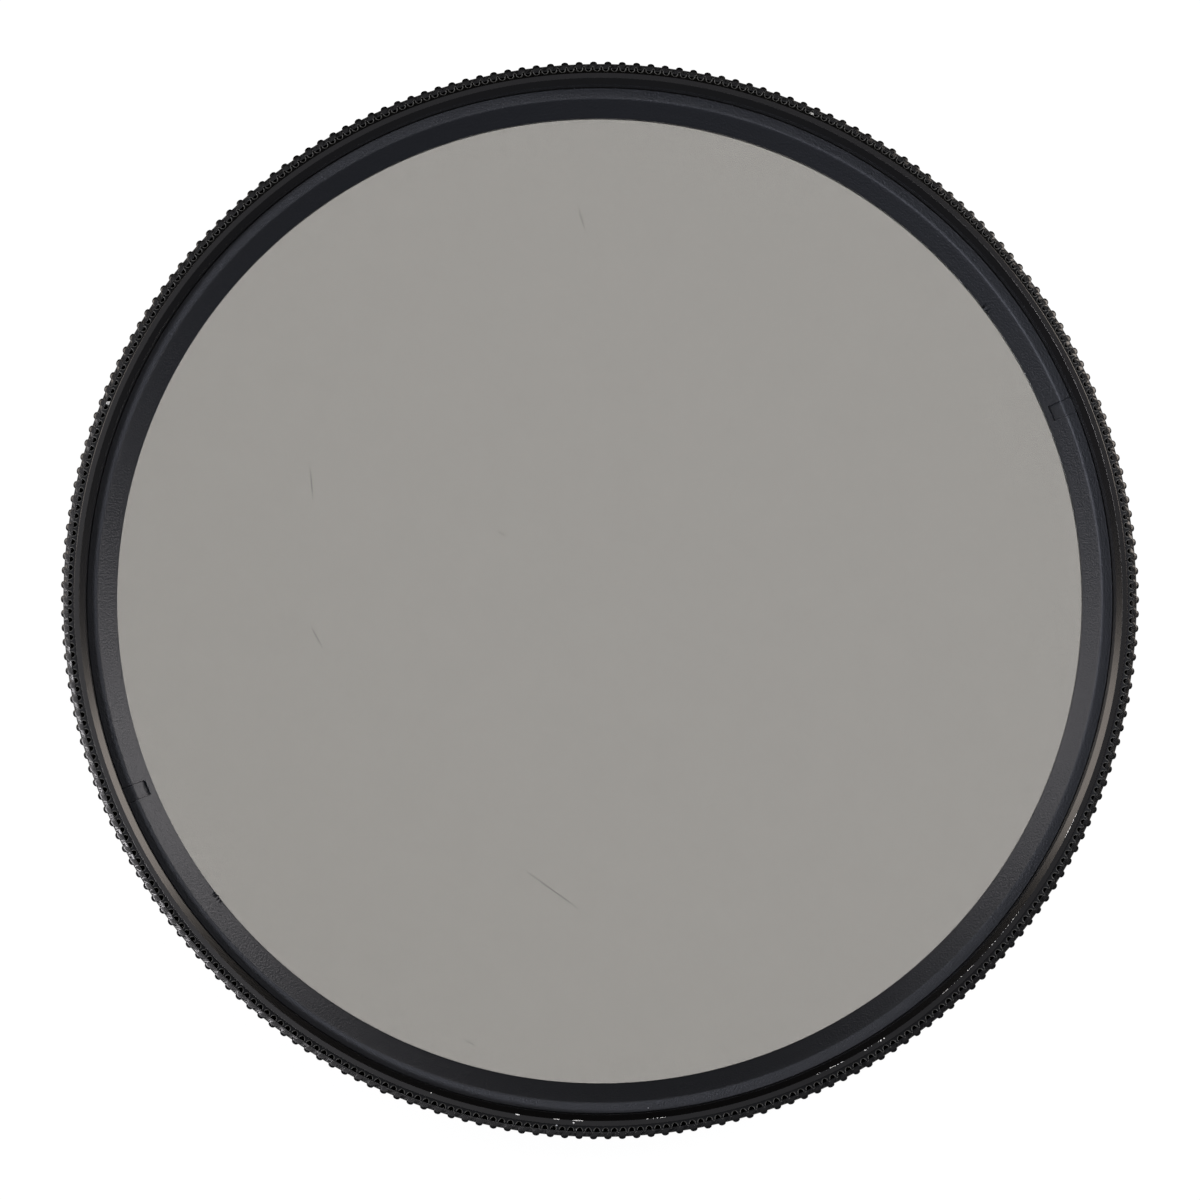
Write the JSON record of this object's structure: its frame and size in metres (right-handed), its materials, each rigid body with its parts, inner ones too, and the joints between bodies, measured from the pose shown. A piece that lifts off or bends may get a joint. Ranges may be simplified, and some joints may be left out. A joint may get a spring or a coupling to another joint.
{
  "type": "screw-in polarising lens filter",
  "caption": "Round screw-in polarising filter for a camera lens: a ribbed ring with a lens thread, and a knurled ring that turns in it and carries the grey glass.",
  "frame": {"origin": "centre of the rear end of the lens thread, which is the lowest face", "axes": "+Z along the optical axis, away from the lens and towards the subject; +X to the right as seen from the front with +Y up"},
  "size_m": [0.0746, 0.0746, 0.0084],
  "materials": {
    "anodised_aluminium": "black anodised, satin",
    "glass": "polished",
    "polarising_film": "clear neutral grey",
    "spring_steel": "drawn wire"
  },
  "bodies": {
    "rear_body": {"rear_ring": "anodised_aluminium", "spring_ring": "spring_steel"},
    "front_body": {"front_ring": "anodised_aluminium", "retaining_ring": "anodised_aluminium", "rear_glass": "glass", "polarising_film": "polarising_film", "front_glass": "glass"}
  },
  "joints": [
    {"name": "front_turn", "type": "hinge", "parent": "rear_body", "child": "front_body", "pos_m": [0, 0, 0.00422], "axis": [0, 0, 1], "continuous": true}
  ]
}
